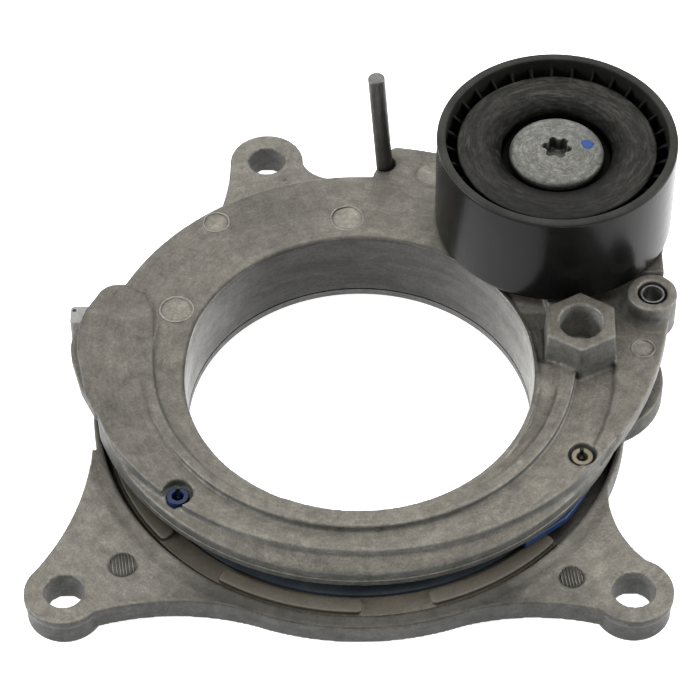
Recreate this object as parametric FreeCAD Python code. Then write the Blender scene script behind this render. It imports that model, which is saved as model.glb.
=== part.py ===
"""Ring-type belt tensioner: an arm casting with an idler pulley swings about a large bore on a bolted base.

Millimetres. Z points up along the ring axis, X runs parallel to the two front ears, and Y points to the
rear ear. The origin is on the ring axis, in the mounting face under the three ears.
"""
import FreeCAD, Part
import math
import os

from FreeCAD import Vector

# ---- heights above the mounting face ----
Z_WEB = 2.4
Z_EAR = 9.3
Z_RIM = 8.8
Z_FLOOR = 2.8
Z_COLLAR = 13.0
Z_SKIRT = 11.0
Z_CAVITY = 17.2
Z_LEDGE_EDGE = 16.4
Z_LEDGE = 18.9
Z_CHANNEL = 20.4
Z_BAND = 21.8
Z_BORE_RIM = 22.4
Z_LOBE = 23.8
Z_PLATEAU = 24.7
Z_SLEEVE_BOSS = 28.8
Z_HEX = 31.6
Z_PULLEY_LOW = 25.7
Z_PULLEY_HIGH = 55.8

# ---- ring, about the origin ----
BORE_R = 46.5
HUB_R = 50.0
BUSH_R = 52.5
RUN_GAP = 0.05
COLLAR_R = 57.2
CAVITY_R = 70.0
DISC_R = 71.8
BULGE_R = 74.2
RIM_TOP_R = (73.0, 75.4)
ARM_BACK_R = 70.5
FLANGE_R = 82.6
SKIRT_WALL = 3.0

# ---- the arm's front edge and its raised lines are circles set off from the ring axis ----
FRONT_EDGE = (0.3, 11.1, 73.7)
RIM_LINE = (-0.2, 6.4, 58.3)
VALLEY_LINE = (-0.7, 5.1, 54.5)
LEDGE_LINE = (1.0, 20.8, 79.0)
CHANNEL_LINE = (4.2, 4.6, 64.3)

# ---- mounting ears ----
EAR_R = 10.5
EAR_LEFT = (-76.7, -61.8)
EAR_RIGHT = (70.0, -63.0)
EAR_BACK = (-26.0, 91.6)
EAR_HOLE_R = 5.1
EAR_RIGHT_HOLE_R = 5.4
LOBE_EAST = (62.8, 9.2, 19.9)

# ---- pulley, bearing and bolt ----
PULLEY_AT = (54.15, 54.4)
PULLEY_R = 32.7
PULLEY_WALL = 2.5
RIB_COUNT = 32
BEARING_BORE_R = 8.5
BEARING_R = 23.5
BEARING_LOW = 32.3
BEARING_WIDTH = 14.0
BALL_R = 4.35
BALL_CIRCLE_R = 16.0
BALL_COUNT = 8
BOLT_HEAD_R = 12.9
BOLT_TOP = 52.0
BOLT_SHANK_R = 4.95
INSERT_R = 6.2

# ---- bosses on the arm ----
HEX_AT = (59.3, 9.4)
HEX_FLATS = 18.0
HEX_TURN = -1.5
HEX_DRAFT = 1.6
HEX_HOLE_R = 6.0
SLEEVE_AT = (79.4, 22.0)
SLEEVE_BOSS_R = 6.7
SLEEVE_R = 3.3
SLEEVE_BORE_R = 2.7
BLUE_PEG_AT = (-47.6, -38.5)
TAN_PEG_AT = (58.2, -27.1)
PEG_R = 2.85
PEG_BORE_R = 1.6
PEG_RECESS_R = 4.1

# ---- locking pin: leans a little towards -X ----
PIN_AT = (7.7, 75.2)
PIN_R = 2.35
PIN_HOLE_R = 2.95
PIN_LOW = 5.5
PIN_HIGH = 58.5
PIN_LEAN = -0.068

# ---- bow spring and wear parts ----
SPRING_R = (57.9, 62.1)
SPRING_TOP = 6.7
SPRING_GAP = (70.0, 110.0)
WEAR_R = (62.6, 68.7)
WEAR_TOP = 6.5
PAD_TOP = 7.7
PAD_R = (63.8, 68.2)
BAND_R = (62.3, 67.5)
STOP_POST_AT = (-75.7, 25.4)

UP = Vector(0, 0, 1)
TINY = 0.02


def cylinder(radius, low, high, at=(0, 0)):
    return Part.makeCylinder(radius, high - low, Vector(at[0], at[1], low), UP)


def tube(outer, inner, low, high, at=(0, 0)):
    return cylinder(outer, low, high, at).cut(cylinder(inner, low - 1, high + 1, at))


def prism(points, low, high):
    """Upright prism over a closed outline of corner points."""
    corners = [Vector(x, y, low) for x, y in points]
    outline = Part.makePolygon(corners + corners[:1])
    return Part.Face(outline).extrude(Vector(0, 0, high - low))


def ramp(profile, x_low, x_high):
    """Solid with a constant outline in the YZ plane, from x_low to x_high."""
    corners = [Vector(x_low, y, z) for y, z in profile]
    outline = Part.makePolygon(corners + corners[:1])
    return Part.Face(outline).extrude(Vector(x_high - x_low, 0, 0))


def closed_face(outline, place):
    """Flat face over a closed run of lines, and of arcs given as (mid, end); place puts a pair in space."""
    here = outline[0]
    edges = []
    for step in outline[1:] + outline[:1]:
        if isinstance(step[0], tuple):
            mid, end = step
            edges.append(Part.Arc(place(*here), place(*mid), place(*end)).toShape())
            here = end
        elif step != here:
            edges.append(Part.makeLine(place(*here), place(*step)))
            here = step
    return Part.Face(Part.Wire(edges))


def slab(outline, low, high):
    """Upright slab over an outline of lines and arcs."""
    face = closed_face(outline, lambda x, y: Vector(x, y, low))
    return face.extrude(Vector(0, 0, high - low))


def turned(profile, at=(0, 0)):
    """Solid of revolution about the upright line through at; profile lists radius and height."""
    face = closed_face(profile, lambda r, z: Vector(at[0] + r, at[1], z))
    return face.revolve(Vector(at[0], at[1], 0), UP, 360)


def sector(outer, inner, low, high, start, end):
    """Part of a tube about the origin between two angles in degrees."""
    wedge = Part.makeCylinder(outer, high - low, Vector(0, 0, low), UP, end - start)
    wedge.rotate(Vector(0, 0, 0), UP, start)
    return wedge.cut(cylinder(inner, low - 1, high + 1))


def polar(radius, degrees, at=(0, 0)):
    angle = math.radians(degrees)
    return (at[0] + radius * math.cos(angle), at[1] + radius * math.sin(angle))


def merge(shapes):
    return shapes[0].multiFuse(shapes[1:]).removeSplitter()


def off_centre(circle, low, high, grow=0.0):
    """Cylinder over one of the circles that are set off from the ring axis."""
    return cylinder(circle[2] + grow, low, high, circle[:2])


# ---------------------------------------------------------------- base body


def web_plate(outline):
    """Web between an ear and the ring."""
    return slab(outline, Z_WEB, Z_EAR)


def ear_pad(ear):
    """Round pad of one ear; its upper part stands out past a step at the parting line of the mould."""
    step = 0.45
    step_z = Z_EAR - 2.2
    foot = cylinder(EAR_R - step, 0, step_z, ear)
    low_edges = [edge for edge in foot.Edges if abs(edge.BoundBox.ZMax) < TINY]
    return foot.makeChamfer(0.6, low_edges).fuse(cylinder(EAR_R, step_z, Z_EAR, ear))


def make_base_plate():
    east = LOBE_EAST[:2]
    flank_left = ((-76.4, -39.2), (-71.6, -14.0))
    flank_front_left = ((-48.0, -65.5), (-24.5, -70.0))
    flank_front_right = ((44.0, -67.0), (25.0, -69.8))
    flank_right = ((65.6, -36.0), (66.5, -24.5))
    flank_back = ((-37.2, 80.8), (-41.2, 66.0))
    hollow_back = ((-12.6, 86.7), (-6.5, 84.5))
    left_foot = polar(EAR_R, 136, EAR_LEFT)
    front_left_foot = polar(EAR_R, -40, EAR_LEFT)
    front_right_foot = polar(EAR_R, 218, EAR_RIGHT)
    right_foot = polar(EAR_R, 33, EAR_RIGHT)
    back_foot = polar(EAR_R, 178, EAR_BACK)
    back_right_foot = polar(EAR_R, -5, EAR_BACK)
    left_outline = [left_foot, flank_left, (-48, -40), flank_front_left[1]]
    left_outline.append((flank_front_left[0], front_left_foot))
    right_outline = [front_right_foot, flank_front_right, (50, -30), (71.0, -9.6)]
    right_outline += [((67.7, -17.0), flank_right[1]), (flank_right[0], right_foot)]
    back_outline = [back_foot, flank_back, (0, 60), (22, 60), (22, 74), (13, 84.5), hollow_back[1]]
    back_outline.append((hollow_back[0], back_right_foot))
    webs = [web_plate(outline) for outline in (left_outline, right_outline, back_outline)]
    pads = [ear_pad(ear) for ear in (EAR_LEFT, EAR_RIGHT, EAR_BACK)]
    mark_low = Z_EAR - 0.8
    stop_angle = math.degrees(math.atan2(STOP_POST_AT[1], STOP_POST_AT[0]))
    stop_tab = Part.makeBox(13, 6, Z_EAR - Z_WEB, Vector(69, -3, Z_WEB))
    stop_tab.rotate(Vector(0, 0, 0), UP, stop_angle)
    body = merge(
        [
            cylinder(DISC_R, Z_WEB, Z_RIM),
            sector(BULGE_R, 60, Z_WEB, Z_RIM, 230, 305),
            cylinder(LOBE_EAST[2], Z_WEB, Z_RIM, east),
            cylinder(DISC_R - 1.2, 0.8, Z_WEB + 0.4),
            stop_tab,
            cylinder(2.0, Z_EAR - 1, 16.8, STOP_POST_AT),
        ]
        + webs
        + pads
    )
    rim_slope = Part.makeCone(RIM_TOP_R[0], RIM_TOP_R[1], Z_EAR - Z_RIM, Vector(0, 0, Z_RIM), UP)
    front_half = Part.makeBox(200, 120, 20, Vector(-100, -120, 0))
    body = body.cut(rim_slope.common(front_half))
    body = body.cut(cylinder(CAVITY_R, Z_FLOOR, 30))
    collar = tube(COLLAR_R, BUSH_R, 4.85, Z_COLLAR).fuse(tube(COLLAR_R, 55, 0.8, Z_COLLAR - 1))
    body = body.cut(cylinder(55, -1, 30)).fuse(collar)
    body = body.cut(sector(78.9, 72.3, PIN_LOW - 0.3, 30, 80.0, 126.0))
    holes = [
        cylinder(EAR_HOLE_R, -1, 20, EAR_LEFT),
        cylinder(EAR_HOLE_R, -1, 20, EAR_BACK),
        cylinder(EAR_RIGHT_HOLE_R, -1, 20, EAR_RIGHT),
        cylinder(3.9, mark_low, 20, (-61.9, -53.4)),
        cylinder(3.5, mark_low, 20, (54.3, -58.6)),
        cylinder(0.9, Z_EAR - 0.35, 20, (-33.0, 89.0)),
        cylinder(0.9, Z_EAR - 0.35, 20, (-21.0, 84.0)),
        cylinder(2.05, 1.2, 20, polar(60, SPRING_GAP[1] + 2.0)),
    ]
    for hole in holes:
        body = body.cut(hole)
    return body.removeSplitter()


def wear_strip(start, end, pads):
    """Arc-shaped polymer strip near the base rim, with raised pads that have rounded corners."""
    pieces = [sector(WEAR_R[1], WEAR_R[0], Z_FLOOR, WEAR_TOP, start, end)]
    for first, last in pads:
        pad = sector(PAD_R[1], PAD_R[0], WEAR_TOP - 0.5, PAD_TOP, first, last)
        corners = [edge for edge in pad.Edges if edge.BoundBox.ZLength > 1 and edge.BoundBox.XLength < TINY]
        pieces.append(pad.makeFillet(1.3, corners))
    return merge(pieces)


def make_bow_spring():
    """Open ring of flat wire; one end bears on the base pin and the other on the arm pin."""
    clear_of_pins = 4.2
    start = SPRING_GAP[1] + clear_of_pins
    end = 360 + SPRING_GAP[0] - clear_of_pins
    return sector(SPRING_R[1], SPRING_R[0], Z_FLOOR, SPRING_TOP, start, end)


def make_stop_bumper():
    """Square cap with rounded edges, pushed over the stop post of the base."""
    half = 3.1
    low_corner = Vector(STOP_POST_AT[0] - half, STOP_POST_AT[1] - half, Z_EAR)
    cap = Part.makeBox(2 * half, 2 * half, 18.0 - Z_EAR, low_corner)
    cap = cap.makeFillet(1.1, [edge for edge in cap.Edges if edge.Length > 2 * half + 1])
    cap = cap.makeFillet(0.4, [edge for edge in cap.Edges if edge.BoundBox.ZMin > 17.9])
    cap = cap.cut(cylinder(2.0, 0, 16.8, STOP_POST_AT))
    return cap.cut(cylinder(0.55, 17.3, 20, (STOP_POST_AT[0] - 2.0, STOP_POST_AT[1] + 1.5)))


# ---------------------------------------------------------------- arm body


def arm_outline(low, high):
    """Full plan of the ring part of the arm between two heights."""
    return off_centre(FRONT_EDGE, low, high).common(cylinder(ARM_BACK_R, low, high))


def left_lobe():
    """Thin lobe on the left, over a stop block; its lower edge stands out past the top."""
    shoulder = Z_LOBE - 2.2
    skirt_outline = [(-50, 22), (-69.0, 28.6), (-75.6, 20.2), ((-77.7, 12.5), (-76.6, 4.4))]
    skirt_outline += [(-74.3, -3.9), (-70.2, -12.4), (-50, -10)]
    top_outline = [(-50, 22), (-62.5, 30.6), ((-67.8, 31.0), (-71.0, 27.8)), (-74.1, 22.2)]
    top_outline += [((-75.8, 13.0), (-74.7, 3.0)), (-72.6, -7.6), (-68.0, -16.0), (-50, -10)]
    skirt = slab(skirt_outline, Z_LOBE - 5.6, shoulder)
    top = slab(top_outline, shoulder, Z_LOBE)
    block = prism([(-66, 1), (-71.0, 6), (-71.0, 16), (-66, 21)], Z_SKIRT, shoulder)
    return merge([skirt, top, block])


def right_flank(high):
    """Bulge of the arm on the right, out to the sleeve boss; its outer side is one long arc."""
    outer_side = ((76.6, -7.0), (83.6, 16.5))
    outline = [(60.3, -32.4), outer_side, (83.6, 30), (83.6, 47), (50, 50), (45, 0)]
    return slab(outline, Z_BAND - 4.6, high)


def pulley_flange():
    low = Z_CAVITY
    pieces = [
        cylinder(31.5, low, Z_PLATEAU, PULLEY_AT),
        sector(FLANGE_R, 60, low, Z_PLATEAU, 62, 82.5),
        prism([(4.6, 71.6), (8.4, 80.2), (10.8, 81.7), (20, 70), (5, 62)], low, Z_PLATEAU),
    ]
    return merge(pieces)


def lowered_top():
    """Everything that is cut away above the arm's stepped and sloping top."""
    rim = off_centre(RIM_LINE, 0, 60)
    high = 60
    front = -120
    front_slope = [(14, Z_PLATEAU), (-10, Z_BORE_RIM), (front, Z_BORE_RIM), (front, high), (14, high)]
    front_ramp = ramp(front_slope, -120, 120)
    outer_slope = [(2, Z_LOBE), (-4, 22.7), (-12, 21.8), (-38, Z_CHANNEL), (front, Z_CHANNEL - 0.6)]
    outer_ramp = ramp(outer_slope + [(front, high), (2, high)], -120, 120).cut(rim)
    lobe_top = prism([(-95, 50), (-65, 32), (-57.5, 27.6), (-55.2, 21), (-54.6, 0), (-95, 0)], Z_LOBE, high)
    run_out = [(front, 15), (-33, 15), (-19, Z_BAND + 0.5), (-19, high), (front, high)]
    ledge_reach = ramp(run_out, -120, 120).cut(off_centre(LEDGE_LINE, 0, 60))
    edge_r = FRONT_EDGE[2]
    slope_r = edge_r - 4.6
    ledge_slope = [(slope_r, Z_LEDGE), (edge_r, Z_LEDGE_EDGE), (90, Z_LEDGE_EDGE - 4)]
    ledge_slope += [(90, high), (slope_r, high)]
    ledge = ledge_reach.common(turned(ledge_slope, FRONT_EDGE[:2]))
    ledge_inside = ledge_reach.common(cylinder(90, Z_LEDGE, high, FRONT_EDGE[:2]))
    band = prism([(40, 27), (71, 33), (95, 33), (95, -60), (40, -60)], Z_BAND, high).cut(rim)
    channel = prism([(40, 25), (95, 25), (95, -60), (40, -60)], Z_CHANNEL, high)
    channel = channel.common(off_centre(CHANNEL_LINE, 0, 60)).cut(rim)
    valley_ring = off_centre(VALLEY_LINE, 0, 60)
    valley_end = [(-15, 21.2), (-40, 22.1), (-60, 22.5)]
    left_floor = [(17, Z_PLATEAU), (10, 23.2), (2, 21.7)] + valley_end + [(-60, high), (17, high)]
    right_floor = [(27, Z_PLATEAU), (21, 21.6), (5, 21.3), (2, 22.8), (-4, 22.7), (-8, 21.5)] + valley_end
    left_valley = ramp(left_floor, -70, -20).common(valley_ring)
    right_valley = ramp(right_floor + [(-60, high), (27, high)], 20, 70).common(valley_ring)
    right_valley = right_valley.cut(cylinder(BORE_R + 1.3, 0, 60))
    return [front_ramp, outer_ramp, lobe_top, ledge, ledge_inside, band, channel, left_valley, right_valley]


def hexagon(flats, low, high, at, turn, draft):
    """Upright hexagon that measures flats across at the top and grows by draft towards its foot."""
    wires = []
    for across, level in ((flats, high), (flats + draft, low)):
        points = [polar(across / math.sqrt(3), turn + 30 + 60 * index, at) for index in range(6)]
        corners = [Vector(x, y, level) for x, y in points]
        wires.append(Part.makePolygon(corners + corners[:1]))
    return Part.makeLoft(wires, True, True)


def pin_rod(radius, low, high):
    """Leaning round rod along the locking pin's axis, cut level at neither end."""
    lean = Vector(PIN_LEAN, 0, 1)
    foot = Vector(PIN_AT[0], PIN_AT[1], Z_PLATEAU) + lean * (low - Z_PLATEAU)
    return Part.makeCylinder(radius, (high - low) * lean.Length, foot, lean)


def make_arm_casting():
    ring = arm_outline(Z_SKIRT, Z_PLATEAU)
    skirt_inside = off_centre(FRONT_EDGE, Z_SKIRT - 1, Z_CAVITY, -SKIRT_WALL)
    skirt_inside = skirt_inside.common(cylinder(ARM_BACK_R - SKIRT_WALL, Z_SKIRT - 1, Z_CAVITY))
    body = merge([ring, left_lobe(), right_flank(Z_PLATEAU), pulley_flange()])
    for cut in lowered_top():
        body = body.cut(cut)
    body = body.cut(skirt_inside)
    boss_foot = Z_SKIRT + 1
    sleeve_foot = Part.makeCone(8.6, SLEEVE_BOSS_R, 2.4, Vector(*SLEEVE_AT, Z_BAND - 0.4), UP)
    body = merge(
        [
            body,
            cylinder(HUB_R, 3.8, Z_CAVITY + 1),
            cylinder(12.0, boss_foot, 31.5, PULLEY_AT),
            hexagon(HEX_FLATS, Z_CAVITY, Z_HEX, HEX_AT, HEX_TURN, HEX_DRAFT),
            cylinder(SLEEVE_BOSS_R, Z_BAND - 4.6, Z_SLEEVE_BOSS, SLEEVE_AT),
            sleeve_foot.common(right_flank(40)),
        ]
    )
    holes = [
        cylinder(BORE_R, -1, 60),
        cylinder(INSERT_R, 0, 60, PULLEY_AT),
        cylinder(HEX_HOLE_R, 18.2, 60, HEX_AT),
        cylinder(SLEEVE_R + TINY, 0, 60, SLEEVE_AT),
        cylinder(4.1, 26.6, 60, SLEEVE_AT),
        cylinder(PEG_RECESS_R, 18.1, 60, BLUE_PEG_AT),
        cylinder(PEG_R, 0, 60, BLUE_PEG_AT),
        cylinder(PEG_RECESS_R - 0.3, 18.4, 60, TAN_PEG_AT),
        cylinder(PEG_R, 0, 60, TAN_PEG_AT),
        pin_rod(PIN_HOLE_R, 5, 60),
    ]
    marks = [((-2.9, 54.3), 4.5), ((-39.2, 53.2), 3.6), ((-49.3, 21.1), 4.5), ((20.6, 71.0), 4.5)]
    for at, radius in marks:
        holes.append(cylinder(radius, Z_PLATEAU - 0.45, 60, at))
    holes.append(cylinder(3.1, Z_BAND - 0.45, 60, (76.4, 8.2)))
    for hole in holes:
        body = body.cut(hole)
    body = body.removeSplitter()
    return max(body.Solids, key=lambda solid: solid.Volume)


def split_peg(at, low, high):
    """Tubular peg with a slot across its head, which snaps into a hole in the arm."""
    slot_width = 1.0
    slot_depth = 3.0
    peg = tube(PEG_R, PEG_BORE_R, low, high, at)
    slot_corner = Vector(at[0] - slot_width / 2, at[1], high - slot_depth)
    return peg.cut(Part.makeBox(slot_width, 2 * PEG_R, slot_depth, slot_corner))


# ---------------------------------------------------------------- pulley, bearing and bolt


def make_pulley_wheel():
    rim_inner = PULLEY_R - PULLEY_WALL
    outer_bevel = 0.5
    inner_bevel = 0.3
    hub_outer = 26.5
    bearing_high = BEARING_LOW + BEARING_WIDTH
    rim = turned(
        [
            (PULLEY_R - outer_bevel, Z_PULLEY_LOW),
            (PULLEY_R, Z_PULLEY_LOW + outer_bevel),
            (PULLEY_R, Z_PULLEY_HIGH - outer_bevel),
            (PULLEY_R - outer_bevel, Z_PULLEY_HIGH),
            (rim_inner + inner_bevel, Z_PULLEY_HIGH),
            (rim_inner, Z_PULLEY_HIGH - inner_bevel),
            (rim_inner, Z_PULLEY_LOW + inner_bevel),
            (rim_inner + inner_bevel, Z_PULLEY_LOW),
        ],
        PULLEY_AT,
    )
    hub = turned(
        [
            (22.6, BEARING_LOW - 1.5),
            (hub_outer, BEARING_LOW - 1.5),
            (hub_outer, 50.6),
            (24.8, 50.6),
            (22.6, bearing_high + 1.4),
            (22.6, bearing_high),
            (BEARING_R, bearing_high),
            (BEARING_R, BEARING_LOW),
            (22.6, BEARING_LOW),
        ],
        PULLEY_AT,
    )
    web = tube(rim_inner + 0.2, hub_outer - 0.2, 38.3, 40.3, PULLEY_AT)
    ribs = []
    rib_width = 1.0
    inner_end = hub_outer - 0.3
    outer_end = rim_inner + 0.3
    for index in range(RIB_COUNT):
        profile = [(inner_end, 30.8), (outer_end, 28.2), (outer_end, 53.4), (inner_end, 50.2)]
        face = closed_face(profile, lambda r, z: Vector(r, -rib_width / 2, z))
        rib = face.extrude(Vector(0, rib_width, 0))
        rib.rotate(Vector(0, 0, 0), UP, index * 360.0 / RIB_COUNT)
        rib.translate(Vector(PULLEY_AT[0], PULLEY_AT[1], 0))
        ribs.append(rib)
    return merge([rim, hub, web] + ribs)


def raceway(outer, inner):
    """Bearing ring between two radii with the ball groove turned out of it."""
    ring = tube(outer, inner, BEARING_LOW, BEARING_LOW + BEARING_WIDTH, PULLEY_AT)
    middle = Vector(PULLEY_AT[0], PULLEY_AT[1], BEARING_LOW + BEARING_WIDTH / 2)
    return ring.cut(Part.makeTorus(BALL_CIRCLE_R, BALL_R + 0.05, middle, UP))


def ball_centre(index):
    x, y = polar(BALL_CIRCLE_R, index * 360.0 / BALL_COUNT, PULLEY_AT)
    return Vector(x, y, BEARING_LOW + BEARING_WIDTH / 2)


def make_balls():
    return Part.makeCompound([Part.makeSphere(BALL_R, ball_centre(index)) for index in range(BALL_COUNT)])


def make_cage():
    middle = BEARING_LOW + BEARING_WIDTH / 2
    cage = tube(BALL_CIRCLE_R + 1.2, BALL_CIRCLE_R - 1.2, middle - 5.1, middle + 5.1, PULLEY_AT)
    for index in range(BALL_COUNT):
        hub = Vector(PULLEY_AT[0], PULLEY_AT[1], middle)
        outward = ball_centre(index) - hub
        cage = cage.cut(Part.makeCylinder(BALL_R + 0.08, 2 * BALL_CIRCLE_R, hub, outward))
    return cage


def bearing_seal(low):
    return tube(19.95, 12.45, low, low + 0.7, PULLEY_AT)


def make_outer_ring():
    ring = raceway(BEARING_R, 19.3)
    high = BEARING_LOW + BEARING_WIDTH
    ring = ring.cut(cylinder(19.95, high - 1.3, high + 1, PULLEY_AT))
    return ring.cut(cylinder(19.95, BEARING_LOW - 1, BEARING_LOW + 1.3, PULLEY_AT))


def make_inner_ring():
    return raceway(12.4, BEARING_BORE_R)


def make_dust_cap():
    """Dished front cover, clamped against the inner ring, that shields the hub of the pulley."""
    floor = BEARING_LOW + BEARING_WIDTH
    top = 52.3
    outline = [(BEARING_BORE_R, floor), (16.0, floor), (16.0, 49.3), (18.8, 50.7), (21.5, 51.3)]
    outline += [(26.7, 51.3), ((27.2, 51.8), (26.7, top)), (21.5, top), ((18.4, 51.95), (16.0, 50.9))]
    outline += [((15.2, 50.2), (15.0, 49.2)), (15.0, floor + 0.8), (BEARING_BORE_R, floor + 0.8)]
    return turned(outline, PULLEY_AT)


def make_rear_shield():
    outline = [(BEARING_BORE_R, 31.5), (12.5, 31.5), (22.0, 30.6), (22.0, 31.3), (14.0, BEARING_LOW)]
    return turned(outline + [(BEARING_BORE_R, BEARING_LOW)], PULLEY_AT)


def make_bolt():
    """Shoulder bolt with a low domed head and a six-lobe recess."""
    foot = 13.5
    shoulder = 31.5
    head_low = 48.2
    seat_r = BEARING_BORE_R - TINY
    outline = [(0, foot), (BOLT_SHANK_R - 0.9, foot), (BOLT_SHANK_R, foot + 0.9), (BOLT_SHANK_R, shoulder)]
    outline += [(seat_r, shoulder), (seat_r, head_low), (BOLT_HEAD_R, head_low)]
    outline += [(BOLT_HEAD_R, 49.4), ((12.4, 50.4), (11.3, 50.9)), (4.6, BOLT_TOP), (0, BOLT_TOP)]
    lobe_circle_r = 3.0
    recess_low = BOLT_TOP - 4.2
    recess = cylinder(lobe_circle_r, recess_low, BOLT_TOP + 1, PULLEY_AT)
    for index in range(6):
        lobe_at = polar(lobe_circle_r, 48 + 60 * index, PULLEY_AT)
        recess = recess.fuse(cylinder(1.05, recess_low, BOLT_TOP + 1, lobe_at))
    return turned(outline, PULLEY_AT).cut(recess)


def make_locking_pin():
    pin = pin_rod(PIN_R, PIN_LOW, PIN_HIGH)
    ends = [edge for edge in pin.Edges if abs(edge.Length - 2 * math.pi * PIN_R) < 0.01]
    return pin.makeChamfer(0.4, ends)


def make_damper_band():
    """Friction band under the arm's skirt; its leading end tapers to a point."""
    band = sector(BAND_R[1], BAND_R[0], 8.8, Z_SKIRT, -49, 190)
    lead_in = prism([polar(65.0, -50), polar(67.6, -37), polar(75, -37), polar(75, -50)], 8, 12)
    return band.cut(lead_in)


# ---------------------------------------------------------------- all pieces

BEARING_HIGH = BEARING_LOW + BEARING_WIDTH

parts = {
    "base_plate": make_base_plate(),
    "pivot_bush": tube(BUSH_R, HUB_R + RUN_GAP, 4.85, Z_COLLAR),
    "thrust_washer": tube(54.8, HUB_R + 0.2, 3.85, 4.85),
    "wear_strip_front": wear_strip(-174, -41.7, [(-172, -139.4), (-123.2, -90.0), (-74.5, -41.9)]),
    "wear_strip_rear": wear_strip(2, 168, [(4, 37), (53, 86), (102, 135)]),
    "bow_spring": make_bow_spring(),
    "spring_anchor_pin": cylinder(2.05, 1.2, 9.0, polar(60, SPRING_GAP[1] + 2.0)),
    "stop_bumper": make_stop_bumper(),
    "arm_casting": make_arm_casting(),
    "retaining_ring": tube(54.3, BORE_R, 1.8, 3.8),
    "spring_drive_pin": cylinder(2.0, 3.2, Z_CAVITY, polar(60, SPRING_GAP[0] - 1.8)),
    "damper_band": make_damper_band(),
    "blue_peg": split_peg(BLUE_PEG_AT, Z_SKIRT, 18.9),
    "tan_peg": split_peg(TAN_PEG_AT, Z_SKIRT, 19.5),
    "boss_sleeve": tube(SLEEVE_R, SLEEVE_BORE_R, 17.6, 28.3, SLEEVE_AT),
    "thread_insert": tube(INSERT_R, BOLT_SHANK_R + RUN_GAP, 13.0, 31.0, PULLEY_AT),
    "pulley_bolt": make_bolt(),
    "bolt_washer": tube(BOLT_HEAD_R - 0.4, BEARING_BORE_R, BEARING_HIGH + 0.8, 48.2, PULLEY_AT),
    "dust_cap": make_dust_cap(),
    "rear_dust_shield": make_rear_shield(),
    "bearing_inner_ring": make_inner_ring(),
    "bearing_outer_ring": make_outer_ring(),
    "bearing_seal_front": bearing_seal(BEARING_HIGH - 1.2),
    "bearing_seal_rear": bearing_seal(BEARING_LOW + 0.5),
    "bearing_balls": make_balls(),
    "bearing_cage": make_cage(),
    "pulley_wheel": make_pulley_wheel(),
    "locking_pin": make_locking_pin(),
}

os.makedirs("parts", exist_ok=True)
for name, shape in parts.items():
    shape.exportStep("parts/" + name + ".step")
    print(name, len(shape.Solids), shape.isValid(), round(shape.Volume), shape.BoundBox)
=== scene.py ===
import math
import bpy
from mathutils import Matrix, Vector


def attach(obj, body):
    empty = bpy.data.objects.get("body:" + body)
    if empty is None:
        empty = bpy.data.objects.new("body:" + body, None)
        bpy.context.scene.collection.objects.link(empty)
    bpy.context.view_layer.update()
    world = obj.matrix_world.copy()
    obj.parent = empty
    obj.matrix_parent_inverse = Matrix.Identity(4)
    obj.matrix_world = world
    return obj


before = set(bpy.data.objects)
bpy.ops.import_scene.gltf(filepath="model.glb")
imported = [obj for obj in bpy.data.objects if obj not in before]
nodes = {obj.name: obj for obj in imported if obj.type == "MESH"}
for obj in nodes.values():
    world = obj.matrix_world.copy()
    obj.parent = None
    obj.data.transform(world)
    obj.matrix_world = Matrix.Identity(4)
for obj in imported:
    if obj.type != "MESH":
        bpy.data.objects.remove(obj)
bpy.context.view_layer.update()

MM = 0.001
scene = bpy.context.scene

# ---- places on the object, in millimetres in the CAD frame ----
PULLEY_AT = (54.15, 54.4)
PULLEY_R = 32.7
BOLT_TOP = 52.0
BORE_R = 46.5
Z_PLATEAU = 24.7
Z_BAND = 21.8
Z_EAR = 9.3
ARM_MARKS = [((-2.9, 54.3), 4.5), ((-39.2, 53.2), 3.6), ((-49.3, 21.1), 4.5), ((20.6, 71.0), 4.5)]
BAND_MARK = ((76.4, 8.2), 3.1)
BASE_MARKS = [((-61.9, -53.4), 3.9), ((54.3, -58.6), 3.5)]
ARM_HOLES = [((59.3, 9.4), 6.05)]
EAR_HOLES = [((-76.7, -61.8), 5.15), ((70.0, -63.0), 5.45), ((-26.0, 91.6), 5.15)]
RING_AXIS = (0.0, 0.0)
# The arm's front wall is part of a cylinder set off from the ring axis.
FRONT_WALL_AT = (0.3, 11.1)
FRONT_WALL_R = 73.7
# The bolt head is flat in the middle and then falls away evenly.
DOME_FLAT_R = 4.6
DOME_SLOPE = 1.1 / 6.7

# ---- colours of the paper and of the castings, whose tops and walls differ by painted light and shade ----
WHITE = (1.0, 1.0, 1.0, 1.0)
ARM_TOP_SHADED = (0.0550, 0.0513, 0.0434)
ARM_SIDE_LIT = (0.0740, 0.0735, 0.0680)
BASE_TOP_LIT = (0.0605, 0.0567, 0.0485)
BASE_SIDE_SHADED = (0.0410, 0.0410, 0.0385)
BARE_METAL = (0.090, 0.088, 0.083)


# ---------------------------------------------------------------- materials


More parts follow.
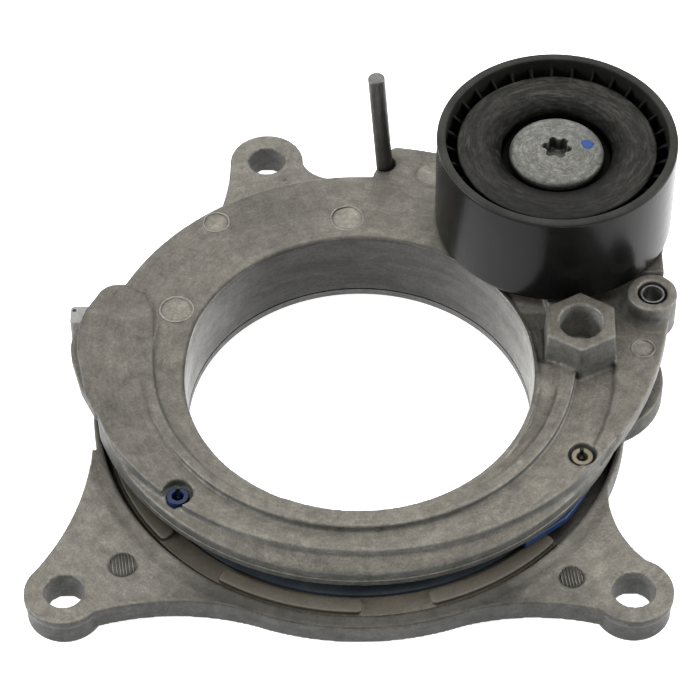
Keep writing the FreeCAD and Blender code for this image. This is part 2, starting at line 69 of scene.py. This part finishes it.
class Shader:
    """Small helper that adds nodes to one material and links them; lengths are in metres."""

    def __init__(self, name):
        self.material = bpy.data.materials.new(name)
        self.material.use_nodes = True
        self.tree = self.material.node_tree
        self.bsdf = self.tree.nodes["Principled BSDF"]
        self.place = self.add("ShaderNodeTexCoord").outputs["Object"]
        self.geometry = self.add("ShaderNodeNewGeometry")

    def add(self, kind, **settings):
        node = self.tree.nodes.new(kind)
        for key, value in settings.items():
            setattr(node, key, value)
        return node

    def link(self, source, target):
        self.tree.links.new(source, target)

    def put(self, value, socket):
        """Sets a socket to a plain value, or links it to another node's output."""
        if isinstance(value, (int, float, tuple)):
            socket.default_value = value
        else:
            self.link(value, socket)

    def math(self, operation, a, b=0.0):
        node = self.add("ShaderNodeMath", operation=operation)
        self.put(a, node.inputs[0])
        self.put(b, node.inputs[1])
        return node.outputs[0]

    def product(self, *values):
        result = values[0]
        for value in values[1:]:
            result = self.math("MULTIPLY", result, value)
        return result

    def noise(self, scale, detail=3.0, rough=0.55, distortion=0.0, source=None):
        node = self.add("ShaderNodeTexNoise")
        node.inputs["Scale"].default_value = scale
        node.inputs["Detail"].default_value = detail
        node.inputs["Roughness"].default_value = rough
        node.inputs["Distortion"].default_value = distortion
        self.link(source or self.place, node.inputs["Vector"])
        return node.outputs["Fac"]

    def stretched(self, factors):
        mapping = self.add("ShaderNodeMapping")
        mapping.inputs["Scale"].default_value = factors
        self.link(self.place, mapping.inputs["Vector"])
        return mapping.outputs["Vector"]

    def span(self, value, low, high, out_low=0.0, out_high=1.0):
        """Straight change from out_low at low to out_high at high, and level beyond both."""
        node = self.add("ShaderNodeMapRange", clamp=True)
        self.put(value, node.inputs["Value"])
        node.inputs["From Min"].default_value = low
        node.inputs["From Max"].default_value = high
        node.inputs["To Min"].default_value = out_low
        node.inputs["To Max"].default_value = out_high
        return node.outputs["Result"]

    def mix(self, factor, a, b):
        node = self.add("ShaderNodeMix", data_type="RGBA")
        self.put(factor, node.inputs["Factor"])
        colors = [socket for socket in node.inputs if socket.type == "RGBA"]
        for value, socket in zip((a, b), colors):
            if isinstance(value, tuple):
                value = value[:3] + (1.0,)
            self.put(value, socket)
        return [socket for socket in node.outputs if socket.type == "RGBA"][0]

    def scaled(self, color, factor):
        node = self.add("ShaderNodeVectorMath", operation="SCALE")
        self.put(color, node.inputs[0])
        self.put(factor, node.inputs["Scale"])
        return node.outputs["Vector"]

    def around(self, at):
        """Distance in metres and angle in radians about an upright line through at."""
        axes = self.add("ShaderNodeSeparateXYZ")
        self.link(self.place, axes.inputs[0])
        dx = self.math("SUBTRACT", axes.outputs[0], at[0] * MM)
        dy = self.math("SUBTRACT", axes.outputs[1], at[1] * MM)
        reach = self.math("SQRT", self.math("ADD", self.product(dx, dx), self.product(dy, dy)))
        return reach, self.math("ARCTAN2", dy, dx), axes.outputs[2]

    def ring_lines(self, at, scale, drift, detail=3.0):
        """Noise drawn out into lines that run round an upright axis."""
        reach, angle, height = self.around(at)
        vector = self.add("ShaderNodeCombineXYZ")
        self.link(self.math("MULTIPLY", reach, scale), vector.inputs[0])
        self.link(self.math("MULTIPLY", angle, drift), vector.inputs[1])
        self.link(self.math("MULTIPLY", height, scale), vector.inputs[2])
        return self.noise(1.0, detail, 0.6, 0.4, vector.outputs[0])

    def facing_up(self):
        """One on level tops, falling to zero on upright walls."""
        axes = self.add("ShaderNodeSeparateXYZ")
        self.link(self.geometry.outputs["Normal"], axes.inputs[0])
        return self.span(axes.outputs[2], 0.25, 0.85)

    def crevice(self, distance, darkest):
        """Painted shade: one in the open, falling to darkest where walls close in."""
        node = self.add("ShaderNodeAmbientOcclusion", samples=6)
        node.inputs["Distance"].default_value = distance
        return self.span(node.outputs["AO"], 0.35, 0.92, darkest, 1.0)

    def edges(self, hollow, ridge):
        """Painted shade in inner corners and a painted highlight on outer edges."""
        pointed = self.geometry.outputs["Pointiness"]
        dark = self.span(pointed, 0.40, 0.492, hollow, 1.0)
        light = self.span(pointed, 0.508, 0.60, 1.0, ridge)
        return self.product(dark, light)

    def bump(self, height, distance, strength=1.0, under=None):
        node = self.add("ShaderNodeBump")
        node.inputs["Strength"].default_value = strength
        node.inputs["Distance"].default_value = distance
        self.link(height, node.inputs["Height"])
        if under is not None:
            self.link(under, node.inputs["Normal"])
        return node.outputs["Normal"]

    def finish(self, color, roughness, metallic=0.0, normal=None, specular=0.5):
        self.put(color, self.bsdf.inputs["Base Color"])
        self.put(roughness, self.bsdf.inputs["Roughness"])
        self.put(metallic, self.bsdf.inputs["Metallic"])
        self.put(specular, self.bsdf.inputs["Specular IOR Level"])
        if normal is not None:
            self.link(normal, self.bsdf.inputs["Normal"])
        return self.material


def within(s, circles):
    """One inside any of the upright cylinders, each given as ((x, y), radius) in millimetres."""
    result = None
    for at, radius in circles:
        from_axis, _, _ = s.around(at)
        disc = s.math("LESS_THAN", from_axis, radius * MM)
        result = disc if result is None else s.math("MAXIMUM", result, disc)
    return result


def cast_metal(name, top, side, marks, mark_height, mark_tone, holes):
    """Cast aluminium: mottled skin, painted shade in corners, painted highlights on edges, holes
    lightened partly for their bare finish and partly with painted light, and ejector marks; tops
    and walls differ by painted light and shade.
    """
    s = Shader(name)
    clouds = s.span(s.noise(26.0, 3.0, 0.6), 0.32, 0.68, 0.90, 1.10)
    mottle = s.span(s.noise(230.0, 6.0, 0.75, 0.5), 0.32, 0.68, 0.70, 1.30)
    grain = s.noise(1500.0, 4.0, 0.8)
    fine = s.span(grain, 0.30, 0.70, 0.74, 1.26)
    lines = s.span(s.ring_lines((0.0, 6.0), 900.0, 5.0), 0.32, 0.68, 0.90, 1.10)
    pits = s.span(s.noise(480.0, 4.0, 0.7), 0.62, 0.74, 1.0, 0.60)
    veins = s.math("ABSOLUTE", s.math("SUBTRACT", s.noise(75.0, 6.0, 0.7, 1.2), 0.5))
    scuffs = s.span(veins, 0.0, 0.010, 1.28, 1.0)
    drawn_out = s.noise(130.0, 6.0, 0.75, 1.0, s.stretched((1.0, 0.35, 1.0)))
    nicks = s.math("ABSOLUTE", s.math("SUBTRACT", drawn_out, 0.5))
    scuffs = s.product(scuffs, s.span(nicks, 0.0, 0.006, 0.72, 1.0))
    # Painted shade in corners and creases, and painted highlights on outer edges.
    crevice_shade = s.product(s.crevice(0.006, 0.75), s.crevice(0.0014, 0.38))
    shade = s.product(clouds, mottle, fine, lines, pits, scuffs, crevice_shade, s.edges(0.38, 1.45))
    _, _, height = s.around(RING_AXIS)
    on_top = s.math("GREATER_THAN", height, (mark_height - 1.0) * MM)
    in_mark = s.product(within(s, marks), on_top)
    shade = s.product(shade, s.span(in_mark, 0.0, 1.0, 1.0, mark_tone))
    # Holes lightened: partly their paler bare finish, partly painted light that lifts the shade
    # inside them.
    shade = s.product(shade, s.span(within(s, holes), 0.0, 1.0, 1.0, 2.1))
    # Tops and walls take different colours: painted light and shade by which way the surface faces.
    color = s.scaled(s.mix(s.facing_up(), side, top), shade)
    roughness = s.span(s.noise(260.0, 4.0, 0.6), 0.3, 0.7, 0.42, 0.60)
    skin = s.bump(grain, 0.00009, 0.6)
    waves = s.bump(s.noise(150.0, 4.0, 0.6), 0.0005, 0.35, skin)
    return s, color, roughness, waves, fine


def round_patch(s, at, near, far, tone):
    """Soft round patch about an upright line: full up to near and gone at far, in millimetres."""
    from_axis, _, _ = s.around(at)
    return s.span(from_axis, near * MM, far * MM, tone, 1.0)


def arm_metal():
    """Casting of the arm: darker towards its left and in two round patches, a bare turned bore with
    painted light and shade on its walls, and painted shade on the lip above that bore.
    """
    s, color, roughness, waves, fine = cast_metal(
        "cast_arm", ARM_TOP_SHADED, ARM_SIDE_LIT, ARM_MARKS + [BAND_MARK], Z_BAND, 1.45, ARM_HOLES
    )
    reach, angle, _ = s.around(RING_AXIS)
    backward = s.math("SINE", angle)
    # Painted shade: a dark line on the lip round the back and sides of the bore.
    near_bore = s.span(reach, (BORE_R + 0.55) * MM, (BORE_R + 1.35) * MM, 1.0, 0.0)
    lip = s.product(s.span(backward, -0.35, -0.05), near_bore)
    # Darker towards the left of the arm and in two soft round patches.
    to_the_right = s.product(reach, s.math("COSINE", angle))
    darker_to_left = s.span(to_the_right, -0.070, -0.030, 0.74, 1.0)
    behind_bore = round_patch(s, (-24.0, 60.0), 6.0, 24.0, 0.72)
    lobe_corner = round_patch(s, (-64.0, -13.0), 3.0, 10.0, 0.80)
    patches = s.product(behind_bore, lobe_corner)
    color = s.scaled(color, s.product(darker_to_left, patches, s.span(lip, 0.0, 1.0, 1.0, 0.42)))
    inside = s.math("LESS_THAN", reach, (BORE_R + 0.25) * MM)
    round_the_bore = s.noise(60.0, 5.0, 0.7, 0.6, s.stretched((1.0, 1.0, 5.0)))
    scratches = s.span(round_the_bore, 0.3, 0.7, 0.7, 1.35)
    # Painted light and shade on the bore walls: light at the front and sides, dark at the back.
    bore_wall_light = s.span(backward, -0.10, 0.85, 1.95, 0.44)
    bare = s.scaled(BARE_METAL, s.product(scratches, fine, bore_wall_light))
    roughness = s.math("SUBTRACT", roughness, s.product(inside, 0.06))
    return s.finish(s.mix(inside, color, bare), roughness, 0.5, waves, 0.15)


def base_metal():
    """Casting of the base; the sloping front of its rim is duller than the rest."""
    s, color, roughness, waves, _ = cast_metal(
        "cast_base", BASE_TOP_LIT, BASE_SIDE_SHADED, BASE_MARKS, Z_EAR, 0.85, EAR_HOLES
    )
    reach, angle, _ = s.around(RING_AXIS)
    on_rim = s.product(s.span(reach, 0.0692, 0.0698), s.facing_up())
    towards_front = s.span(s.math("SINE", angle), -0.86, -0.70, 1.0, 0.0)
    color = s.scaled(color, s.span(s.product(on_rim, towards_front), 0.0, 1.0, 1.0, 0.36))
    return s.finish(color, roughness, 0.5, waves, 0.15)


def moulded(name, color, light, roughness, specular=0.5, crevice=0.5, ridge=1.25):
    """Moulded polymer with a faint cloudy tone and a fine skin."""
    s = Shader(name)
    cloud = s.span(s.noise(90.0, 4.0, 0.6), 0.35, 0.7, 0.0, 0.8)
    fine = s.noise(900.0, 2.0, 0.6)
    mixed = s.mix(cloud, color, light)
    skin = s.span(fine, 0.3, 0.7, 0.85, 1.15)
    # Painted shade in crevices and corners, and painted highlights on outer edges.
    shade = s.product(skin, s.crevice(0.004, crevice), s.edges(0.7, ridge))
    rough = s.span(s.noise(220.0, 3.0), 0.3, 0.7, roughness - 0.06, roughness + 0.08)
    return s.finish(s.scaled(mixed, shade), rough, 0.0, s.bump(fine, 0.00004, 0.6), specular)


def wheel_polymer():
    """Black moulded wheel: a polished running face, a painted highlight on the rim edge, and
    painted shade on the dull ribbed inside.
    """
    s = Shader("wheel_polymer")
    reach, _, _ = s.around(PULLEY_AT)
    outside = s.span(reach, (PULLEY_R - 2.7) * MM, (PULLEY_R - 2.3) * MM)
    on_face = s.span(reach, (PULLEY_R - 0.25) * MM, (PULLEY_R - 0.10) * MM)
    cloud = s.span(s.noise(90.0, 4.0, 0.6), 0.35, 0.7)
    fine = s.noise(1400.0, 3.0, 0.7)
    face = s.mix(cloud, (0.0026, 0.0026, 0.0026), (0.0044, 0.0044, 0.0043))
    # Painted highlight on the rim's top edge.
    edge = s.mix(cloud, (0.0100, 0.0102, 0.0090), (0.0160, 0.0162, 0.0145))
    # Painted shade: the ribbed inside is coloured darker than the face.
    inner = s.mix(cloud, (0.0016, 0.0016, 0.0016), (0.0030, 0.0030, 0.0029))
    color = s.mix(outside, inner, s.mix(on_face, edge, face))
    # Painted shade in crevices.
    shade = s.product(s.span(fine, 0.3, 0.7, 0.8, 1.2), s.crevice(0.005, 0.5))
    scratched = s.ring_lines(PULLEY_AT, 1600.0, 3.0)
    face_rough = s.span(scratched, 0.35, 0.65, 0.20, 0.27)
    roughness = s.mix(on_face, (0.5, 0.5, 0.5), face_rough)
    specular = s.span(on_face, 0.0, 1.0, 0.03, 0.115)
    normal = s.bump(fine, 0.00003, 0.5)
    return s.finish(s.scaled(color, shade), roughness, 0.0, normal, specular)


def swirled_cover(name, color, light):
    """Black dished cover with wiped swirls round its axis, and painted shade in the dish and at the
    front.
    """
    s = Shader(name)
    reach, angle, _ = s.around(PULLEY_AT)
    # Painted shade on the front of the cover.
    front = s.span(s.math("SINE", angle), -1.0, -0.55, 0.55, 1.0)
    swirls = s.span(s.ring_lines(PULLEY_AT, 1500.0, 5.0, 6.0), 0.42, 0.62)
    wide = s.span(s.ring_lines(PULLEY_AT, 320.0, 2.5, 4.0), 0.38, 0.62, 0.35, 1.0)
    smears = s.span(s.noise(160.0, 6.0, 0.75, 2.5), 0.50, 0.66)
    dust = s.math("MAXIMUM", s.product(swirls, wide), s.product(smears, 0.55))
    fine = s.noise(1500.0, 3.0, 0.7)
    # Painted shade in the dish round the bolt.
    dish = s.span(reach, 0.0150, 0.0205, 0.22, 1.0)
    # Painted shade in crevices as well.
    shade = s.product(s.span(fine, 0.3, 0.7, 0.7, 1.3), s.crevice(0.006, 0.45), dish, front)
    rough = s.span(dust, 0.0, 1.0, 0.50, 0.72)
    normal = s.bump(fine, 0.00006, 0.6, s.bump(s.noise(240.0, 4.0, 0.6), 0.0003, 0.3))
    specular = s.span(dish, 0.22, 1.0, 0.01, 0.05)
    return s.finish(s.scaled(s.mix(dust, color, light), shade), rough, 0.0, normal, specular)


def zinc_bolt():
    """Zinc-plated bolt head: blotched plating with fine turning marks."""
    s = Shader("zinc_bolt")
    blotches = s.span(s.noise(560.0, 6.0, 0.85, 0.8), 0.38, 0.62)
    turned = s.span(s.ring_lines(PULLEY_AT, 1500.0, 4.0, 5.0), 0.42, 0.60, 0.72, 1.25)
    fine = s.noise(2200.0, 3.0, 0.8)
    skin = s.span(fine, 0.3, 0.7, 0.75, 1.25)
    # Painted shade in crevices and painted highlights on outer edges.
    shade = s.product(turned, skin, s.crevice(0.003, 0.35), s.edges(0.6, 1.3))
    color = s.mix(blotches, (0.0220, 0.0223, 0.0190), (0.0640, 0.0635, 0.0560))
    normal = s.bump(fine, 0.00008, 0.5, s.bump(blotches, 0.0001, 0.3))
    rough = s.span(s.noise(300.0, 3.0), 0.3, 0.7, 0.40, 0.55)
    return s.finish(s.scaled(color, shade), rough, 0.45, normal, 0.3)


def metal(name, color, light, roughness, metallic, stretch=(1.0, 1.0, 1.0), mottle=240.0):
    """Plain metal with a mottled skin, painted shade in crevices and painted highlights on edges.
    """
    s = Shader(name)
    space = s.stretched(stretch)
    cloud = s.span(s.noise(mottle, 6.0, 0.75, 0.6, space), 0.36, 0.66)
    fine = s.noise(1500.0, 3.0, 0.7, 0.0, space)
    skin = s.span(fine, 0.3, 0.7, 0.85, 1.18)
    shade = s.product(skin, s.crevice(0.003, 0.4), s.edges(0.6, 1.35))
    rough = s.span(s.noise(300.0, 3.0), 0.3, 0.7, roughness - 0.07, roughness + 0.09)
    normal = s.bump(fine, 0.00004, 0.5, s.bump(cloud, 0.0001, 0.25))
    return s.finish(s.scaled(s.mix(cloud, color, light), shade), rough, metallic, normal)


materials = {
    "arm": arm_metal(),
    "base": base_metal(),
    "wheel": wheel_polymer(),
    "cage": moulded("cage_polymer", (0.0060, 0.0060, 0.0060), (0.0100, 0.0100, 0.0100), 0.45),
    "cover": swirled_cover(
        "cover_polymer",
        (0.0030, 0.0030, 0.0026),
        (0.0190, 0.0188, 0.0160),
    ),
    "tan": moulded(
        "tan_polymer",
        (0.0265, 0.0232, 0.0172),
        (0.0355, 0.0314, 0.0238),
        0.5,
        specular=0.2,
        crevice=1.0,
    ),
    "peg_tan": moulded(
        "tan_peg_polymer",
        (0.070, 0.060, 0.040),
        (0.098, 0.086, 0.060),
        0.45,
        specular=0.2,
    ),
    "blue": moulded(
        "blue_polymer",
        (0.0022, 0.0060, 0.0200),
        (0.0040, 0.0100, 0.0330),
        0.40,
        specular=0.1,
        crevice=0.8,
        ridge=1.1,
    ),
    # Painted light: a lighter blue than the peg's, so the band does not sink into the shade under
    # the arm.
    "band": moulded(
        "band_polymer",
        (0.0050, 0.0140, 0.0400),
        (0.0085, 0.0220, 0.0600),
        0.40,
        specular=0.2,
        crevice=1.0,
    ),
    "spring": moulded(
        "blued_spring",
        (0.0110, 0.0145, 0.0185),
        (0.0185, 0.0235, 0.0290),
        0.45,
        specular=0.3,
        crevice=1.0,
    ),
    "pale": moulded("pale_polymer", (0.063, 0.063, 0.058), (0.086, 0.084, 0.078), 0.55),
    "zinc": zinc_bolt(),
    "dark": metal("oiled_steel", (0.0110, 0.0115, 0.0115), (0.0230, 0.0230, 0.0220), 0.38, 0.6),
    "ring": metal("ring_steel", (0.0420, 0.0425, 0.0410), (0.0680, 0.0680, 0.0650), 0.45, 0.6),
    "sleeve": metal("sleeve_steel", (0.0350, 0.0355, 0.0340), (0.0680, 0.0680, 0.0640), 0.40, 0.6),
    "pin": metal(
        "pin_steel",
        (0.0200, 0.0198, 0.0184),
        (0.0480, 0.0470, 0.0440),
        0.42,
        0.5,
        stretch=(3.0, 3.0, 0.4),
    ),
    "bearing": metal("bearing_steel", (0.16, 0.16, 0.16), (0.24, 0.24, 0.24), 0.3, 1.0),
    "rubber": moulded("seal_rubber", (0.006, 0.006, 0.006), (0.011, 0.011, 0.011), 0.6),
    "bronze": metal("bronze_bush", (0.10, 0.065, 0.03), (0.15, 0.10, 0.05), 0.45, 0.9),
    "paint": moulded(
        "blue_paint",
        (0.0040, 0.0160, 0.0620),
        (0.0060, 0.0220, 0.0800),
        0.5,
        specular=0.1,
    ),
    "mark_rim": metal(
        "mark_rim",
        (0.0420, 0.0395, 0.0335),
        (0.0950, 0.0900, 0.0790),
        0.5,
        0.5,
        mottle=420.0,
    ),
}

finish_of = {
    "arm_casting": "arm",
    "base_plate": "base",
    "pivot_bush": "bronze",
    "thrust_washer": "tan",
    "wear_strip_front": "tan",
    "wear_strip_rear": "tan",
    "bow_spring": "spring",
    "spring_anchor_pin": "dark",
    "stop_bumper": "pale",
    "retaining_ring": "ring",
    "spring_drive_pin": "dark",
    "damper_band": "band",
    "blue_peg": "blue",
    "tan_peg": "peg_tan",
    "boss_sleeve": "sleeve",
    "thread_insert": "dark",
    "pulley_bolt": "zinc",
    "bolt_washer": "dark",
    "dust_cap": "cover",
    "rear_dust_shield": "dark",
    "bearing_inner_ring": "bearing",
    "bearing_outer_ring": "bearing",
    "bearing_seal_front": "rubber",
    "bearing_seal_rear": "rubber",
    "bearing_balls": "bearing",
    "bearing_cage": "cage",
    "pulley_wheel": "wheel",
    "locking_pin": "pin",
}
for node_name, key in finish_of.items():
    mesh = nodes[node_name].data
    mesh.materials.clear()
    mesh.materials.append(materials[key])


# ---------------------------------------------------------------- soft edges on the CAD pieces


def soften(node_name, voxel, passes, keep):
    """Rounds every edge of a CAD piece a little, as a cast or moulded piece has them."""
    piece = nodes[node_name]
    remesh = piece.modifiers.new("even_mesh", "REMESH")
    remesh.mode = "VOXEL"
    remesh.voxel_size = voxel * MM
    remesh.use_smooth_shade = True
    smooth = piece.modifiers.new("soft_edges", "SMOOTH")
    smooth.factor = 0.5
    smooth.iterations = passes
    if keep < 1.0:
        thin = piece.modifiers.new("fewer_faces", "DECIMATE")
        thin.ratio = keep


# Each piece: size of the even mesh in millimetres, smoothing passes, and share of the faces kept.
SOFT_EDGES = {
    "arm_casting": (0.42, 3, 0.42),
    "base_plate": (0.45, 3, 0.42),
    "pulley_wheel": (0.40, 2, 0.40),
    "dust_cap": (0.30, 3, 0.5),
    "pulley_bolt": (0.22, 3, 0.5),
    "wear_strip_front": (0.25, 3, 0.5),
    "stop_bumper": (0.14, 3, 1.0),
    "locking_pin": (0.18, 3, 1.0),
    "damper_band": (0.25, 2, 0.5),
    "blue_peg": (0.12, 3, 1.0),
    "tan_peg": (0.12, 3, 1.0),
    "boss_sleeve": (0.12, 3, 1.0),
}
for node_name, (voxel, passes, keep) in SOFT_EDGES.items():
    soften(node_name, voxel, passes, keep)


# ---------------------------------------------------------------- added detail


def add_piece(name, vertices, faces, material, body):
    """Adds a smooth-shaded mesh that moves with one body and belongs to one material slot."""
    mesh = bpy.data.meshes.new(name)
    mesh.from_pydata(vertices, [], faces)
    for polygon in mesh.polygons:
        polygon.use_smooth = True
    piece = bpy.data.objects.new(name, mesh)
    scene.collection.objects.link(piece)
    mesh.materials.append(materials[material])
    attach(piece, body)


def spot(at, reach, angle, height):
    """Point at a distance and an angle from an upright line: millimetres in, metres out."""
    x = at[0] + reach * math.cos(angle)
    y = at[1] + reach * math.sin(angle)
    return (x * MM, y * MM, height * MM)


def joined(near, far, count):
    """Closed band of quads between two rows of count points, which start at near and at far."""
    quads = []
    for side in range(count):
        beside = (side + 1) % count
        quads.append((near + side, near + beside, far + beside, far + side))
    return quads


def paint_dot():
    """Small domed blob of marking paint on the bolt head."""
    center = (PULLEY_AT[0] + 8.4, PULLEY_AT[1] + 1.6)
    dot_r = 1.75
    steps = 48
    rings = [(1.0, -0.25), (1.0, 0.02), (0.93, 0.10), (0.6, 0.15)]
    vertices = []
    for scale, rise in rings:
        for index in range(steps):
            angle = 2 * math.pi * index / steps
            uneven = 1 + 0.06 * math.sin(3 * angle + 0.6) + 0.04 * math.sin(5 * angle)
            reach = dot_r * scale * uneven
            x = center[0] + reach * math.cos(angle)
            y = center[1] + reach * math.sin(angle)
            from_axis = math.hypot(x - PULLEY_AT[0], y - PULLEY_AT[1])
            dome = BOLT_TOP - DOME_SLOPE * (from_axis - DOME_FLAT_R)
            vertices.append(spot(center, reach, angle, dome + rise))
    last = len(vertices) - steps
    faces = [tuple(range(steps))[::-1], tuple(range(last, last + steps))]
    for low in range(0, last, steps):
        faces += joined(low, low + steps, steps)
    add_piece("paint_dot", vertices, faces, "paint", "arm")


def mark_rims(name, marks, height):
    """Thin raised rims that the ejectors of the mould left round their marks on the arm."""
    steps = 72
    section = [(0.32, -0.25), (0.22, 0.05), (0.0, 0.13), (-0.22, 0.05), (-0.32, -0.25)]
    count = len(section)
    vertices = []
    faces = []
    for at, radius in marks:
        first = len(vertices)
        for index in range(steps):
            angle = 2 * math.pi * index / steps
            wobble = 0.05 * math.sin(4 * angle + at[0]) + 0.04 * math.sin(7 * angle + at[1])
            sunk = 0.06 + 0.06 * math.sin(angle + at[0]) + 0.03 * math.sin(3 * angle + at[1])
            for out, rise in section:
                vertices.append(spot(at, radius + wobble + out, angle, height + rise - sunk))
            after = (index + 1) % steps
            faces += joined(first + after * count, first + index * count, count)
    add_piece(name, vertices, faces, "mark_rim", "arm")


def ear_mark_ribs():
    """Fine straight ribs on the floor of the round marks in the two front ears."""
    pitch = 0.85
    foot = 0.26
    crest = 0.12
    wall_gap = 0.1
    shortest = 0.5
    ribs_each_side = 4
    floor = Z_EAR - 1.0
    top = Z_EAR - 0.32
    lean = math.radians(8)
    section = [(-foot, floor), (-crest, top), (crest, top), (foot, floor)]
    count = len(section)
    vertices = []
    faces = []
    for at, radius in BASE_MARKS:
        reach = radius - wall_gap
        for index in range(-ribs_each_side, ribs_each_side + 1):
            aside = index * pitch + 0.08 * math.sin(5 * index)
            if abs(aside) >= reach - shortest:
                continue
            half_length = math.sqrt(reach * reach - aside * aside)
            first = len(vertices)
            for along in (-half_length, half_length):
                for out, z in section:
                    x = at[0] + (aside + out) * math.cos(lean) - along * math.sin(lean)
                    y = at[1] + (aside + out) * math.sin(lean) + along * math.cos(lean)
                    vertices.append((x * MM, y * MM, z * MM))
            second = first + count
            faces += joined(first, second, count)
            faces.append(tuple(range(first, second))[::-1])
            faces.append(tuple(range(second, second + count)))
    add_piece("ear_mark_ribs", vertices, faces, "base", "base")


def arm_wall_bead():
    """Thin raised line that the joint of the mould left along the arm's front wall."""
    height = 13.4
    start = math.radians(215)
    end = math.radians(325)
    steps = 160
    fade_steps = 12
    sunk_end = 0.3
    section = [(-0.4, 0.3), (0.12, 0.2), (0.22, 0.0), (0.12, -0.2), (-0.4, -0.3)]
    count = len(section)
    vertices = []
    for index in range(steps + 1):
        angle = start + (end - start) * index / steps
        fade = min(1.0, index / fade_steps, (steps - index) / fade_steps)
        for out, rise in section:
            reach = FRONT_WALL_R + out - sunk_end * (1 - fade)
            vertices.append(spot(FRONT_WALL_AT, reach, angle, height + rise))
    last = len(vertices) - count
    faces = []
    for low in range(0, last, count):
        faces += joined(low, low + count, count)
    faces.append(tuple(range(count))[::-1])
    faces.append(tuple(range(last, last + count)))
    add_piece("arm_wall_bead", vertices, faces, "arm", "arm")


paint_dot()
mark_rims("arm_mark_rims", ARM_MARKS[:3], Z_PLATEAU)
mark_rims("band_mark_rim", [BAND_MARK], Z_BAND)
ear_mark_ribs()
arm_wall_bead()


# ---------------------------------------------------------------- floor, light and camera


def make_floor():
    """Large pale sheet just under the object, bright enough to read as plain white."""
    half_width = 4.0
    mesh = bpy.data.meshes.new("floor")
    corners = [(-1, -1), (1, -1), (1, 1), (-1, 1)]
    corners = [(half_width * x, half_width * y, 0) for x, y in corners]
    mesh.from_pydata(corners, [], [(0, 1, 2, 3)])
    floor = bpy.data.objects.new("floor", mesh)
    floor.location.z = -0.3 * MM
    scene.collection.objects.link(floor)
    paper = Shader("floor_paper")
    tone = paper.mix(paper.noise(3.0), (0.44, 0.44, 0.44), (0.46, 0.46, 0.46))
    paper.put(WHITE, paper.bsdf.inputs["Emission Color"])
    paper.put(0.92, paper.bsdf.inputs["Emission Strength"])
    mesh.materials.append(paper.finish(tone, 0.9, specular=0.0))


def softbox(name, place, width, height, power):
    """Rectangular studio lamp, sizes in metres and power in watts, turned towards the object."""
    light = bpy.data.lights.new(name, "AREA")
    light.shape = "RECTANGLE"
    light.size = width
    light.size_y = height
    light.energy = power
    lamp = bpy.data.objects.new(name, light)
    lamp.location = place
    aim = Vector((0.0, 0.0, 0.02)) - Vector(place)
    lamp.rotation_euler = aim.to_track_quat("-Z", "Y").to_euler()
    scene.collection.objects.link(lamp)


def make_world():
    """Even white light from all round."""
    world = bpy.data.worlds.new("studio")
    world.use_nodes = True
    background = world.node_tree.nodes["Background"]
    background.inputs["Color"].default_value = WHITE
    background.inputs["Strength"].default_value = 0.75
    scene.world = world


def make_camera():
    """Long lens in front of the object, looking down at it at about 49 degrees."""
    pitch = 0.8595
    roll = -0.00914
    place = Vector((-2.45, -553.2, 673.5)) * MM
    ahead = Vector((0, math.cos(pitch), -math.sin(pitch)))
    above = Vector((0, math.sin(pitch), math.cos(pitch)))
    aside = Vector((1, 0, 0))
    right = math.cos(roll) * aside + math.sin(roll) * above
    upward = -math.sin(roll) * aside + math.cos(roll) * above
    lens = bpy.data.cameras.new("camera")
    lens.lens = 164.57
    lens.sensor_width = 36.0
    lens.clip_start = 0.05
    lens.clip_end = 20.0
    camera = bpy.data.objects.new("camera", lens)
    turn = Matrix((right, upward, -ahead)).transposed().to_4x4()
    camera.matrix_world = Matrix.Translation(place) @ turn
    scene.collection.objects.link(camera)
    scene.camera = camera


make_floor()
softbox("top", (0.0, 0.15, 1.3), 1.5, 1.5, 42.0)
softbox("left", (-1.17, -0.22, 0.5), 0.6, 0.5, 30.0)
softbox("right", (1.2, 0.05, 0.5), 0.5, 0.5, 27.0)
softbox("back", (0.0, 1.4, 0.8), 1.4, 0.8, 19.0)
make_world()
make_camera()
scene.view_settings.view_transform = "Standard"
scene.view_settings.look = "None"
